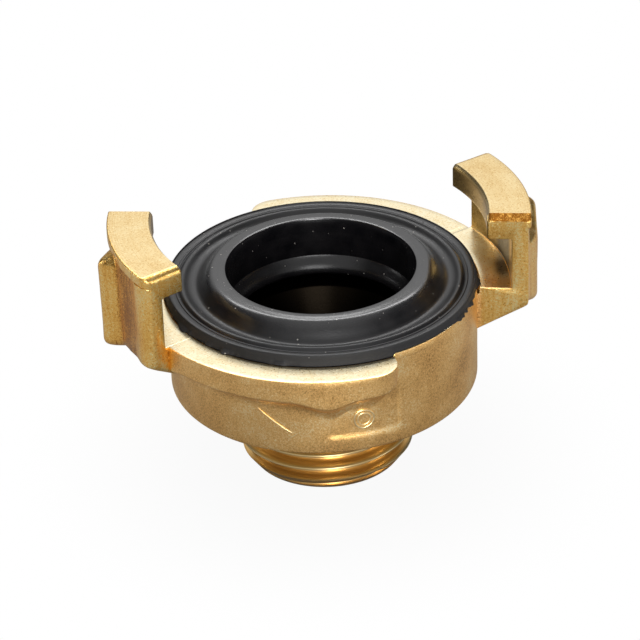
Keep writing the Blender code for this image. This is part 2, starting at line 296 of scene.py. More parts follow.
def flat_spot(angle, z):
    """The shallow flat, as a shift of the radius."""
    turn = angle % 360 - 180
    across = smooth(turn, FLAT_FROM - 0.8, FLAT_FROM + 0.8) * (1 - smooth(turn, FLAT_TO - 0.8, FLAT_TO + 0.8))
    upright = smooth(z, FLAT_LOW - 0.65, FLAT_LOW) * (1 - smooth(z, FLAT_HIGH, FLAT_HIGH + 1.0))
    return -FLAT_DEPTH * across * upright


waves = [die_wear(angle, 16.0) for angle in range(360)]
print(f"waves from {min(waves):.3f} to {max(waves):.3f} mm, flat {flat_spot(270, 15.5):.2f} mm")

# %% [markdown]
# ## The flange's outline
# The underside of a flange slopes down to the drum, so the flange is thickest at its root. Its outer lower
# edge isn't level: it dips twice where the die was deeper and lifts towards the end. Under the claw the
# flange is sunk by a hundredth of a millimetre, so that its face doesn't lie in the claw's face when the
# two are joined.

# %% Outline of a flange
WALL_FOOT = 12.1  # height at which the drum's wall leaves the foot
LOWER, UPPER = 14, 38  # outline points below and above the start of the flange
FLANGE_EDGE = 2.7  # height of the flange's outer edge, under its face
UNDER_FLANGE = 0.67  # slope of its underside
CLAW_COVERS = 20.9, 21.4  # turns between which the flange comes out from under the claw
SUNK = 0.012
DIP_AT, DIP_DEEP = 76.0, 0.95  # the deep dip of the lower edge
ROOT_DIP = 0.4  # the small one, where the flange leaves the claw
END_LIFT = 0.35  # how much the lower edge lifts towards the flange's end


def flange_wall(turn):
    """Outline from the drum's foot, round the flange, to the groove."""
    drop = flange_drop(turn)
    hidden = 1 - smooth(turn, *CLAW_COVERS)
    outer, top = FLANGE - drop, TOP - SUNK * hidden
    groove = min(GROOVE_OUT + 0.15 * hidden, outer - 0.08)
    low = TOP - FLANGE_EDGE - DIP_DEEP * bump(turn, DIP_AT, 12, 10)
    low -= ROOT_DIP * bump(turn, CLAW_HALF, CLAW_HALF, 7.5)
    low += END_LIFT * bump(turn, FLANGE_TO, 16, 16) + 0.4 * drop * drop / FLANGE_END
    start, joint, edge = (DRUM, WALL_FOOT), (DRUM, low - UNDER_FLANGE * (outer - DRUM)), (outer, low)
    fillet = corner(start, joint, edge, 1.0, 5)
    foot = corner(joint, edge, (outer, top), 0.2, 5)
    rim = corner(edge, (outer, top), (groove, top), 0.13, 3)
    wall = line(start, fillet[0], LOWER) + fillet + line(fillet[-1], foot[0], 5)
    wall += foot + line(foot[-1], rim[0], 5) + rim + line(rim[-1], (groove, top), 5)
    wall += corner((outer, top), (groove, top), (groove, GROOVE_FLOOR), 0.05, 2)
    wall += [(groove, 22.3), (groove - 0.02, GROOVE_FLOOR + 0.05), (groove - 0.1, GROOVE_FLOOR)]
    return wall + [(0.5 * (DRUM + groove), GROOVE_FLOOR)]


middle = flange_wall(60)
print(f"flange outline: {len(middle)} points of {LOWER} + {UPPER}, lowest {min(z for r, z in middle):.2f} mm")

# %% [markdown]
# ## The bare wall and the rim
# Between two flanges the drum's wall is bare. There it takes over the points of the flange on either
# side, so the mesh has no break. The rim changes height too: it stands tall where the wall is bare, and
# stays low beside the flanges, where the rubber comes down over it.

# %% Bare wall and the height of the rim
BARE = 180 + FLANGE_FROM - FLANGE_TO  # degrees of wall without a flange
RIM_RISES = FLANGE_TO - 0.5, FLANGE_TO + 1.2
RIM_FALLS = 156.5, 159.0


def plain_wall(turn):
    """The bare drum wall, with its points spread so that they meet those of the flange at either end."""
    ends = flange_wall(FLANGE_TO - 0.01)[LOWER][1], flange_wall(FLANGE_FROM)[LOWER][1]
    knee = mix(*ends, ((turn - FLANGE_TO) % 180) / BARE)
    wall = line((DRUM, WALL_FOOT), (DRUM, knee), LOWER) + line((DRUM, knee), (DRUM, GROOVE_FLOOR), UPPER)
    left_over = (FLANGE_EXTRA - FLANGE_END) * (1 - smooth(turn, FLANGE_TO, FLANGE_TO + 1.8))
    return [(r + left_over * smooth(z, 20.6, 21.6), z) for r, z in wall]


def beside_flange(angle):
    """1 where a flange or a claw stands round the rim, 0 where the drum wall is bare."""
    turn = angle % 180
    return 1 - smooth(turn, *RIM_RISES) * (1 - smooth(turn, *RIM_FALLS))


print(f"bare wall: {BARE:.0f} degrees, {len(plain_wall(120))} points, rim {HIGH_RIM - LOW_RIM:.2f} mm taller")

# %% [markdown]
# ## One section of the body
# The section starts inside the coming waterway, runs out under the drum, up its wall, over the rim and
# down into the seat of the ring. The die didn't close quite straight, so the drum's foot is a quarter of
# a millimetre deeper on one side than on the other.

# %% Section of the drum
HIDDEN_CORE = 7.0  # radius inside the waterway, which is cut later
STEP_IN, STEP_OUT, STEP_TOP = 9.0, 10.98, 11.6  # the shallow step round the thread, under the drum
FOOT_ROUND = 0.35
SEAT_NECK, SEAT_GROOVE, SEAT_FLOOR = 15.0, 16.3, 18.2  # the seat that holds the ring


def drum_foot(angle):
    """Height of the drum's foot."""
    return SPIGOT - 0.28 - 0.14 * math.cos(math.radians(angle - 195))


def body_section(angle):
    turn = angle % 180
    wall = flange_wall(turn) if FLANGE_FROM <= turn < FLANGE_TO else plain_wall(turn)
    foot, top = drum_foot(angle), mix(HIGH_RIM, LOW_RIM, beside_flange(angle))
    outline = [(HIDDEN_CORE, STEP_TOP + 0.7), (STEP_IN, STEP_TOP), (STEP_OUT - 0.08, STEP_TOP)]
    outline += [(STEP_OUT, STEP_TOP - 0.05), (STEP_OUT, SPIGOT + 0.04)]
    outline += [(STEP_OUT + 0.04, foot)] + line((STEP_OUT + 0.04, foot), (DRUM - FOOT_ROUND, foot), 3)
    outline += arc(DRUM - FOOT_ROUND, foot + FOOT_ROUND, FOOT_ROUND, -90, 0, 7) + wall
    outline += [(DRUM, GROOVE_FLOOR), (DRUM, 22.05), (DRUM, 22.15), (DRUM, top - 0.12)]
    outline += [(DRUM - 0.035, top - 0.035), (DRUM - 0.12, top), (17.0, top), (SEAT_NECK + 0.45, top)]
    outline += [(SEAT_NECK, 22.2), (SEAT_NECK, 21.2), (SEAT_GROOVE, 20.7), (SEAT_GROOVE, SEAT_FLOOR + 0.1)]
    outline += [(SEAT_GROOVE - 0.1, SEAT_FLOOR), (13.0, SEAT_FLOOR), (HIDDEN_CORE, SEAT_FLOOR)]
    return [(r + wall_shift(angle, r, z), z) for r, z in outline]


def wall_shift(angle, r, z):
    """What the die left in the drum's wall and under the flanges. Turned faces keep their radius."""
    if 18.0 < r <= DRUM + 0.001 and 12.0 < z < 22.0:
        return die_wear(angle, z) + flat_spot(angle, z)
    return die_wear(angle, z) if r > 19.6 and z < TOP - 0.4 else 0.0


print(f"foot from {drum_foot(195):.2f} to {drum_foot(15):.2f} mm, {len(body_section(0))} points in a section")

# %% [markdown]
# ## The sweep round the drum
# One section per degree is enough for the plain stretches. More are needed where the flange's end turns
# the corner, so those are spaced by a sine, and where the flange comes out from under the claw.

# %% Sweep the drum
angles = set(range(0, 360))
for start in (0, 180):
    end = start + FLANGE_TO
    angles -= {start + a for a in range(int(FLANGE_TO - END_ANGLE), int(FLANGE_TO) + 1)}
    angles |= {end - END_ANGLE * (1 - math.sin(math.radians(a))) for a in range(0, 85, 6)}
    angles |= {end + extra for extra in (-END_ANGLE - 1.0, -0.01, 0.02, 0.3, 0.6, 0.9, 1.2, 1.5, 1.8)}
    angles |= {start + a for a in (FLANGE_FROM - 0.2, *CLAW_COVERS, 21.15, RIM_FALLS[0], 157.5, 158.5)}
body = sweep("brass_body", [(a, body_section(a)) for a in sorted(angles)], closed=True)
print("sections round the drum:", len(angles))

# %% [markdown]
# ## The claws
# Each claw is a hook with a C-shaped section: a web that stands up beyond the flange, and a lip that
# reaches back in over the slot. Its outside is left as forged, with a flat-faced rib near one end, and a
# hollow and a rounded corner post near the other. The rib stands proud of the turned band above it and
# slopes back under that band. Each of these is one function of the angle, so they blend as they do on
# a forging, where separate solids would meet in sharp seams.

# %% The forged outside of a claw
WEB_OUT = LIP_OUT - 0.32  # the forged face, set back from the turned band
BAND = LIP_TOP - 1.15  # lower edge of that band
RIB_TURN = -15  # the direction that the rib's flat face looks in
RIB_STARTS, RIB_ENDS = (-19.0, -10.5), (-3.4, 2.6)  # degrees over which its two sides rise and fall
UNDER_SLOPE = 0.55


def underside(radius):
    """Height of the claw's sloping underside."""
    return TOP - 3.6 + UNDER_SLOPE * (radius - FLANGE)


def rib_height(a):
    """The rib, measured out from the forged face, at a degrees from the claw's middle."""
    flat_face = RIB_REACH / math.cos(math.radians(a - RIB_TURN)) - WEB_OUT
    return flat_face * smooth(a, *RIB_STARTS) * (1 - smooth(a, *RIB_ENDS))


def shoulder_height(a):
    """Where the forged face starts to slope back under the band. Lowest at the rib, none at the post."""
    return BAND - 0.2 - (1.05 + 2.5 * (1 - smooth(a, -11.0, -2.5))) * (1 - smooth(a, 1.0, 8.0))


print("rib height in mm:", {a: round(rib_height(a), 2) for a in range(-20, 5, 4)})

# %% Outline of the outside
CLAW_ROOT = 17.2  # radius inside the drum where the claw's outline starts and ends
POST_AT, POST_HIGH = 17.6, 0.3
HOLLOW_AT, HOLLOW_DEEP = 8.5, 0.4
BELLY_AT, BELLY_DEEP = -8.0, 2.15  # where the claw hangs lowest, below its rib


def claw_outside(a):
    """Points from inside the drum, round the claw's outside to the lip's top, and the radius outside."""
    rib, post = rib_height(a), POST_HIGH * bump(a, POST_AT, 5.5, 5.5)
    forged, shoulder = WEB_OUT + max(rib, post), shoulder_height(a)
    valley = HOLLOW_DEEP * bump(a, HOLLOW_AT, 7.0, 8.0)
    low = TOP - 2.1 - BELLY_DEEP * bump(a, BELLY_AT, 15, 22)
    knee = min(max(FLANGE + (low - underside(FLANGE)) / UNDER_SLOPE, 17.6), forged - 0.3)
    start, joint, foot = (CLAW_ROOT, underside(CLAW_ROOT)), (knee, underside(knee)), (forged, low)
    chest, collar, brow = (forged - valley, shoulder), (LIP_OUT, BAND), (LIP_OUT, LIP_TOP)
    neck = (min(LIP_OUT - 0.3, forged - valley), BAND - 0.12)
    rise = 0.05 + min(0.85 * rib, BAND - 0.2 - shoulder)
    ledge = (min(LIP_OUT - 0.25, forged - valley), shoulder + rise)
    points = [start, (17.9, underside(17.9)), (DRUM + 0.3, underside(DRUM + 0.3))]
    points += corner(start, joint, foot, 0.8, 4) + corner(joint, foot, chest, 1.05, 6)
    points += line((mix(forged, chest[0], 0.1), low + 1.05), chest, 9)
    points += corner(foot, chest, ledge, 0.1 + 0.35 * rib, 4) + corner(chest, ledge, neck, 0.2, 3)
    points += corner(ledge, neck, collar, 0.06, 2) + corner(neck, collar, brow, 0.1, 2)
    points += corner(collar, brow, (LIP_IN, LIP_TOP), 0.28, 6)
    return points + line((LIP_OUT - 0.28, LIP_TOP), (LIP_IN + 0.3, LIP_TOP), 6), forged


print(f"outside of a claw: {len(claw_outside(0)[0])} points, radius {claw_outside(-8)[1]:.2f} mm at the rib")

# %% [markdown]
# ## The turned inside of a claw
# A lathe cuts the lip's inner face, the slot and the flange's face in one go, so they are the same all
# along the claw. The lip keeps a small bevel at the top, and the slot's corners keep the radius of the
# tool. The last points go down into the drum, where the join hides them.

# %% Outline of the lip and the slot
LIP_ROUND, TOOL_ROUND = 0.14, 0.18
BEVEL_WIDE, BEVEL_DEEP = 0.27, 0.38


def lip_and_slot():
    lip, slot, groove = (LIP_IN, LIP_UNDER), (WEB_IN, LIP_UNDER), (GROOVE_OUT, TOP)
    floor, bevel_end = (WEB_IN, TOP), (LIP_IN, LIP_TOP - BEVEL_DEEP)
    points = [(LIP_IN + BEVEL_WIDE, LIP_TOP), (LIP_IN + 0.23, LIP_TOP - 0.03), (LIP_IN + 0.04, LIP_TOP - 0.3)]
    points += [bevel_end] + line(bevel_end, (LIP_IN, LIP_UNDER + LIP_ROUND), 4)
    points += corner((LIP_IN, LIP_TOP), lip, slot, LIP_ROUND, 3)
    points += line((LIP_IN + LIP_ROUND, LIP_UNDER), (WEB_IN - TOOL_ROUND, LIP_UNDER), 3)
    points += corner(lip, slot, floor, TOOL_ROUND, 3)
    points += line((WEB_IN, LIP_UNDER - TOOL_ROUND), (WEB_IN, TOP + TOOL_ROUND), 7)
    points += corner(slot, floor, groove, TOOL_ROUND, 3)
    points += line((WEB_IN - TOOL_ROUND, TOP), (GROOVE_OUT + 0.06, TOP), 4)
    points += corner(floor, groove, (GROOVE_OUT, GROOVE_FLOOR), 0.06, 2)
    points += [(GROOVE_OUT, 22.3), (GROOVE_OUT, GROOVE_FLOOR - 0.01)]
    return points + [(18.0, GROOVE_FLOOR - 0.01), (CLAW_ROOT, GROOVE_FLOOR - 0.1)]


print("lip and slot:", len(lip_and_slot()), "points")

# %% [markdown]
# ## How a claw ends
# At its two ends the claw rounds over, and not by the same amount everywhere: the forged outside is soft,
# the machined slot is crisp, and the top of the near end is filed to a bevel. So near an end every outline
# point is drawn in by a radius of its own. A bevel modifier would round all edges alike, and fail where a
# forged edge fades out.
#
# The near end is the one beside the rib, the far end the one beside the corner post.

# %% Round the ends of a claw
FAR_SIDE, FAR_FOOT, FAR_TOP = 1.1, 0.5, 0.85  # rounding radii at the far end of a claw
NEAR_SIDE, NEAR_FOOT = 0.35, 0.2  # and at its near end
NEAR_BEVEL, BEVEL_RUN = 0.78, 0.75
LIP_EDGE, SLOT_EDGE = 0.22, 0.13


def rounding(distance, radius):
    """How far a quarter circle of this radius has drawn in at this distance from the end."""
    t = min(1.0, max(0.0, distance / radius))
    return radius * (1 - math.sqrt(1 - (1 - t) ** 2))


def at_stops(x, stops):
    """Straight lines between (position, value) stops."""
    if x <= stops[0][0]:
        return stops[0][1]
    for (x0, y0), (x1, y1) in zip(stops, stops[1:]):
        if x <= x1:
            return mix(y0, y1, (x - x0) / (x1 - x0))
    return stops[-1][1]


def claw_section(a, far_end):
    """The outline at this angle, drawn in near the claw's ends so that its edges round over."""
    outside, forged = claw_outside(a)
    far = a > 0
    distance = math.radians(far_end - a if far else CLAW_HALF + a) * LIP_OUT
    side = rounding(distance, FAR_SIDE if far else NEAR_SIDE)
    foot = rounding(distance, FAR_FOOT if far else NEAR_FOOT)
    lip, slot = rounding(distance, LIP_EDGE), rounding(distance, SLOT_EDGE)
    top = rounding(distance, FAR_TOP) if far else NEAR_BEVEL * max(0.0, 1 - distance / BEVEL_RUN)
    inward = [(19.2, 0.0), (LIP_IN, lip), (WEB_IN, slot), (max(forged, LIP_OUT), -side)]
    outline = []
    for r, z in outside + lip_and_slot():
        floor = max(underside(r), TOP - 4.0)
        upward = [(floor, foot), (TOP, -slot), (LIP_UNDER, slot), (LIP_TOP, -top)]
        wear = die_wear(a * 2.3, z) if r > 23.5 and z < 31.0 else 0.0
        outline.append((r + wear + at_stops(r, inward), z + at_stops(z, upward) * smooth(r, 18.2, 19.4)))
    return outline


near_end = claw_section(-CLAW_HALF, CLAW_HALF)
print(f"{len(near_end)} points, the top drawn in to {max(z for r, z in near_end):.2f} mm at the near end")

# %% [markdown]
# ## Both claws on the body
# The claws are swept one after the other and joined to the drum. The sections crowd together at the ends,
# where the edges round over. One end of the claw on +X was trimmed two degrees shorter than the rest.

# %% Sweep the claws and join them on
END_STEPS = 0.0, 0.02, 0.06, 0.12, 0.2, 0.32, 0.48, 0.75, 0.9, 1.1, 1.13  # mm from the end
MIDDLE_STEPS = 56


def claw_angles(far_end):
    """Angles of the sections, from the near end to the far one."""
    steps = [math.degrees(distance / LIP_OUT) for distance in END_STEPS]
    first, last = steps[-1] - CLAW_HALF, far_end - steps[-1]
    inside = [mix(first, last, k / MIDDLE_STEPS) for k in range(1, MIDDLE_STEPS)]
    return [step - CLAW_HALF for step in steps] + inside + [far_end - step for step in reversed(steps)]


for start, far_end in ((0, SHORT_END), (180, CLAW_HALF)):
    claw = sweep("claw", [(start + a, claw_section(a, far_end)) for a in claw_angles(far_end)], closed=False)
    combine(body, claw, "UNION")
print("body with claws:", len(body.data.polygons), "faces")

# %% [markdown]
# ## The threaded spigot
# A G 1/2 thread has rounded crests and roots. Blender's screw modifier makes one too, but its start and
# end need mending by hand. Here the rows of a rod climb with the helix, so each crest is one clean line
# of edges instead of a staircase, and the seam where a turn meets the next one is closed by counting rows.

# %% Height of the thread
ROWS = 18  # rows of points in one pitch
ROUND = 160  # points round the rod
START_TURN = 186.3 / 360  # where round the spigot the thread starts, as on the real part
START_HEIGHT = PITCH - PITCH * START_TURN - 0.42


def thread_height(u):
    """Share of the thread's depth at u turns from a root, from 0 at the root to 1 at the crest."""
    t = abs((u % 1.0) * 2 - 1)
    x = (0.5 - t) * 1.5 + 0.5
    return smooth(x, -0.22, 1.22)


print("thread heights over half a pitch:", [round(thread_height(k / 8), 2) for k in range(5)])

# %% The threaded rod
rod_rows = range(int(-2.2 * ROWS), int(7.4 * ROWS))
row_count = len(rod_rows)
points = []
for row in rod_rows:
    radius = CORE + DEPTH * thread_height(row / ROWS + 0.5)
    for k in range(ROUND):
        z = PITCH * (row / ROWS + k / ROUND) + START_HEIGHT
        points.append(polar(radius, 360 * k / ROUND, z))
faces = []
for i in range(row_count - 1):
    for k in range(ROUND - 1):
        here = i * ROUND + k
        faces.append((here, here + 1, here + 1 + ROUND, here + ROUND))
    if i + ROWS + 1 < row_count:
        here, there = i * ROUND + ROUND - 1, (i + ROWS) * ROUND
        faces.append((here, there, there + ROUND, here + ROUND))
print("rod:", len(points), "points in", row_count, "rows")

# %% Close the rod's two ends
start_edge = list(range(ROUND)) + [row * ROUND for row in range(ROWS, 0, -1)]
end_edge = [(row_count - 1) * ROUND + k for k in range(ROUND)]
end_edge += [row * ROUND + ROUND - 1 for row in range(row_count - 2, row_count - 2 - ROWS, -1)]
foot_hub, head_hub = len(points), len(points) + 1
points += [(0, 0, -6.0), (0, 0, 18.0)]
faces += [(foot_hub, start_edge[(i + 1) % len(start_edge)], here) for i, here in enumerate(start_edge)]
faces += [(head_hub, here, end_edge[(i + 1) % len(end_edge)]) for i, here in enumerate(end_edge)]
rod = mesh_piece("rod", points, faces)
print("edges closed with fans of", len(start_edge), "and", len(end_edge), "faces")

# %% [markdown]
# ## Trimming the rod and boring the body
# On the lathe the rod's end is chamfered, so that the thread finds its nut, and a narrow relief is cut
# below the drum for the tool to run out into. Trimming with one turned solid does both. The waterway is
# then drilled from below and opens into a cone under the rubber.

# %% Trim the thread and join it on
CAP = 0.3  # radius of the flat cap that closes the trimming solid at either end
chamfer = [(8.8, 0.0), (9.0, 0.05), (9.1, 0.12), (10.62, 2.25)]
relief = [(10.62, 9.1), (9.3, 10.1), (9.3, 12.9)]
envelope = turned("envelope", [(CAP, 0.0)] + chamfer + relief + [(CAP, 12.9)])
combine(rod, envelope, "INTERSECT")
combine(body, rod, "UNION")
print("body with thread:", len(body.data.polygons), "faces")

# %% Bore the waterway
entry = [(8.25, -2.0), (8.25, 0.0), (7.8, 0.42), (BORE, 0.52)]
cone = [(BORE, 13.1), (7.85, 13.35), (10.3, 16.4), (10.4, 16.65), (10.4, 19.0)]
waterway = turned("waterway", entry + cone)
combine(body, waterway, "DIFFERENCE")
print("body with waterway:", len(body.data.polygons), "faces")

# %% [markdown]
# ## The rubber ring
# The ring is moulded, so its face is one soft profile: a flat rim with two fine lines, a low ridge, a
# trough, and a thick bead round the bore, which the water presses outwards. A formula for the height over
# the radius is shorter than a list of points, and every swell in it has its own size.

# %% Height of the ring's face
BEAD = 1.45  # height of the bead over the rim
RIDGE, RIDGE_HIGH = 16.42, 0.2
TROUGH, TROUGH_DEEP = 15.05, 0.45


def ring_face(radius):
    """Height of the ring's top: bead, trough, ridge, then the flat rim with two fine lines."""
    from_bore = radius - RING_BORE
    z = RING_TOP + BEAD * (1 - smooth(from_bore, 1.3, 3.7))
    z -= 0.14 * smooth(from_bore, 0.2, 1.6) + 0.09 * max(0.0, 1 - from_bore / 0.7) ** 2
    z += RIDGE_HIGH * bump(radius, RIDGE, 0.8, 0.42) - TROUGH_DEEP * bump(radius, TROUGH, 1.7, 1.3)
    z -= 0.12 * bump(radius, 16.88, 0.16, 0.2) + 0.07 * bump(radius, 17.3, 0.1, 0.1)
    return z + 0.05 * bump(radius, 17.75, 0.4, 0.45)


for name, radius in (("bead", 12.2), ("trough", TROUGH), ("ridge", RIDGE), ("rim", 17.9)):
    print(f"{name}: {ring_face(radius):.2f} mm high")

# %% [markdown]
# ## Flash on the ring's lower edge
# Where the two halves of a rubber mould meet, a thin ragged skin is squeezed out. On this ring it was
# trimmed badly in two places, where it hangs over the drum's rim. A noise value that wanders with the
# angle moves the rim's last points, which a perfect circle couldn't show. Beside the flanges the rim
# comes lower and bulges over the drum.

# %% Ragged flash
def near_angle(angle, centre, low, high):
    """1 near this direction, 0 far from it. Low and high are cosines."""
    return smooth(math.cos(math.radians(angle - centre)), low, high)


def flash(angle):
    """How far the flash hangs down and sticks out at this angle."""
    amount = max(near_angle(angle, 198, 0.55, 0.9), 0.8 * near_angle(angle, 335, 0.88, 0.97))
    jag = noise.noise(Vector(polar(9.0, angle, 1.7))) + 0.7 * noise.noise(Vector(polar(26.0, angle, 4.1)))
    return amount * (0.16 + 0.22 * jag), amount * max(0.0, 0.12 + 0.62 * jag)


print("flash sticks out by at most", round(max(flash(a)[1] for a in range(360)), 2), "mm")

# %% Section of the ring
RIM_LINES, FACE_STEPS = 19, 38


def ring_side(angle):
    """From the ring's floor, out over the drum's rim and up to the edge of its face."""
    hang, out = flash(angle)
    beside = beside_flange(angle)
    under, bulge = mix(HIGH_RIM, LOW_RIM, beside) + 0.01, 0.2 * beside
    low, lifted = mix(under, 22.62, beside), beside * min(0.2, 0.6 * out)
    drooping = hang * (1 - beside)
    side = [(10.3, 18.3), (15.7, 18.3), (15.7, 20.55), (14.8, 20.9), (14.8, 22.1), (15.5, under)]
    side += [(17.6, under), (18.06, low - hang)]
    side += [(RING_OUT - 0.02 + bulge + out, low + 0.02 - drooping + lifted)]
    side += [(RING_OUT + 0.03 + bulge + 0.6 * out, low + 0.14 - 0.5 * drooping + lifted)]
    side += [(RING_OUT + 0.6 * bulge, 23.2), (RING_OUT + 0.2 * bulge, 23.6), (RING_OUT, RING_TOP - 0.12)]
    return side + [(RING_OUT - 0.04, RING_TOP - 0.03), (RING_OUT - 0.13, RING_TOP)]


def ring_section(angle):
    rim = [RING_OUT - 0.2 - 0.08 * k for k in range(RIM_LINES)]
    face = [mix(rim[-1], RING_BORE + 0.12, (k + 1) / FACE_STEPS) for k in range(FACE_STEPS)]
    crest = ring_face(RING_BORE + 0.12)
    bore = [(RING_BORE + 0.04, crest - 0.03), (RING_BORE, crest - 0.12)]
    bore += line((RING_BORE, crest - 0.12), (RING_BORE, 20.5), 6)
    bore += [(11.18, 20.38), (11.1, 20.24), (10.85, 19.97), (10.5, 19.62), (10.25, 19.3)]
    bore += [(10.08, 18.95), (10.02, 18.6), (10.1, 18.4)]
    return ring_side(angle) + [(r, ring_face(r)) for r in rim + face] + bore


ring = sweep("rubber_ring", [(half / 2, ring_section(half / 2)) for half in range(720)], closed=True)
print("ring:", len(ring.data.polygons), "faces")

# %% [markdown]
# ## Marks left by the forging die
# A small double ring stands on the flat, and a thin raised line runs across the drum where the die had a
# crack. They are beads of metal a tenth of a millimetre high. Carving them into the drum would need a far
# finer mesh, so each is a little half-round tube swept along a path on the wall, sunk in at its edges.

# %% Raised beads on the drum
BEAD_POINTS = 7  # points across a bead
BEAD_SUNK = 0.05


def drum_point(angle, z, lift):
    """A point on the drum's wall, or this far above it."""
    return polar(DRUM + die_wear(angle, z) + flat_spot(angle, z) + lift, angle, z)


def bead_section(place, direction, width, height):
    """Half-round points across a bead that runs in this direction at an (angle, height) place."""
    points = []
    for k in range(BEAD_POINTS):
        t = math.pi * k / (BEAD_POINTS - 1)
        side, lift = 0.5 * width * math.cos(t), height * math.sin(t) - BEAD_SUNK
        angle = place[0] + math.degrees(side * -direction[1] / DRUM)
        points.append(drum_point(angle, place[1] + side * direction[0], lift))
    return points


def bead(name, path, width, height, closed=False):
    """A half-round bead along (angle, height) points on the drum. Open ones taper at both ends."""
    points, faces, n, count = [], [], BEAD_POINTS, len(path)
    for i, place in enumerate(path):
        before = path[i - 1] if i or closed else place
        after = path[(i + 1) % count] if closed or i + 1 < count else place
        around, rise = math.radians(after[0] - before[0]) * DRUM, after[1] - before[1]
        length = math.hypot(around, rise) or 1.0
        size = 1.0 if closed else min(1.0, 0.12 + 5 * min(i, count - 1 - i) / count)
        points += bead_section(place, (around / length, rise / length), width * size, height * size)
    for i in range(count if closed else count - 1):
        a, b = i * n, (i + 1) % count * n
        faces += [(a + k, a + (k + 1) % n, b + (k + 1) % n, b + k) for k in range(n)]
    if not closed:
        faces += [list(range(n)), [(count - 1) * n + k for k in reversed(range(n))]]
    return mesh_piece(name, points, faces)


print("the middle of the flat lies", round(math.hypot(*drum_point(270, 15.5, 0)[:2]), 2), "mm from the axis")

# %% Paths of the marks
MARK = 268.7, 15.1  # middle of the double ring, as angle and height


def round_path(radius, wobble, count=48):
    """A slightly uneven circle round the middle of the mark."""
    path = []
    for k in range(count):
        t = 2 * math.pi * k / count
        r = radius + wobble * math.sin(3 * t + 1)
        path.append((MARK[0] + math.degrees(r * math.cos(t) / DRUM), MARK[1] + r * math.sin(t)))
    return path


def between(a, b, count, sag):
    """A path from a to b that hangs through by this much in the middle."""
    path = [(a[0] + (b[0] - a[0]) * k / count, a[1] + (b[1] - a[1]) * k / count) for k in range(count + 1)]
    return [(angle, z - sag * math.sin(math.pi * k / count)) for k, (angle, z) in enumerate(path)]


marks = [bead("die_mark_outer", round_path(1.17, 0.03), 0.26, 0.17, closed=True),
         bead("die_mark_inner", round_path(0.76, 0.02), 0.22, 0.15, closed=True),
         bead("forging_line", between((229.0, 16.7), (243.6, 13.45), 30, 0.12), 0.2, 0.15),
         bead("forging_line_end", between((244.9, 13.75), (241.0, 12.75), 10, 0.0), 0.16, 0.12)]
print("marks on the drum:", [mark.name for mark in marks])

# %% [markdown]
# ## Shader maths in plain Python
# A material is easier to read as an expression than as a web of nodes. Value wraps the output of a node
# and turns +, -, * and / into Math nodes. Nodes makes every other node from its type, its settings and
# its inputs, and Finish adds what all the materials here need: the place in millimetres, the radius, the
# direction of the surface, noise, lathe lines and bumps.

# %% A value that can be calculated with
class Value:
    def __init__(self, look, socket):
        self.look, self.socket = look, socket

    def maths(self, operation, *others):
        return self.look.node("ShaderNodeMath", {"operation": operation}, [self, *others])

    def __add__(self, other):
        return self.maths("ADD", other)

    def __sub__(self, other):
        return self.maths("SUBTRACT", other)

    def __mul__(self, other):
        return self.maths("MULTIPLY", other)

    def __truediv__(self, other):
        return self.maths("DIVIDE", other)

    def __rsub__(self, other):
        return self.look.node("ShaderNodeMath", {"operation": "SUBTRACT"}, [other, self])

    __radd__, __rmul__ = __add__, __mul__

    def output(self, name):
        """Another output of the same node."""
        return Value(self.look, self.socket.node.outputs[name])

    def clamp(self):
        return self.look.node("ShaderNodeClamp", {}, [self])

    def near(self, centre, width):
        """1 at the centre value, falling to 0 at this distance from it."""
        return (1 - (self - centre).maths("ABSOLUTE") / width).clamp()

    def over(self, low, high):
        """0 below low, 1 above high, smooth between."""
        settings = {"interpolation_type": "SMOOTHSTEP"}
        return self.look.node("ShaderNodeMapRange", settings, [self, low, high, 0.0, 1.0])


print("a value knows", [name for name in vars(Value) if not name.startswith("__")])

# %% Any node from one method
class Nodes:
    """Makes nodes in a tree."""
    def __init__(self, tree):
        self.tree = tree

    def node(self, kind, settings, inputs, output=0):
        made = self.tree.nodes.new(kind)
        for key, value in settings.items():
            if key == "stops":
                ramp = made.color_ramp
                while len(ramp.elements) < len(value):
                    ramp.elements.new(0.5)
                for element, (position, colour) in zip(ramp.elements, value):
                    element.position, element.color = position, (*colour, 1)
            else:
                setattr(made, key, value)
        pairs = inputs.items() if isinstance(inputs, dict) else enumerate(inputs)
        for key, value in pairs:
            self.feed(made.inputs[key], value)
        return Value(self, made.outputs[output])

    def feed(self, socket, value):
        """Links a value to a socket, or sets the socket to a plain number or colour."""
        if isinstance(value, Value):
            self.tree.links.new(value.socket, socket)
        else:
            socket.default_value = value

    def ramp(self, value, stops):
        return self.node("ShaderNodeValToRGB", {"stops": stops}, [value])

    def blend(self, share, a, b):
        """Colour a where share is 0, colour b where it is 1."""
        a, b = (colour if isinstance(colour, Value) else (*colour, 1) for colour in (a, b))
        return self.node("ShaderNodeMix", {"data_type": "RGBA"}, {0: share, 6: a, 7: b}, 2)


print("a tree is built with", [name for name in vars(Nodes) if not name.startswith("__")])

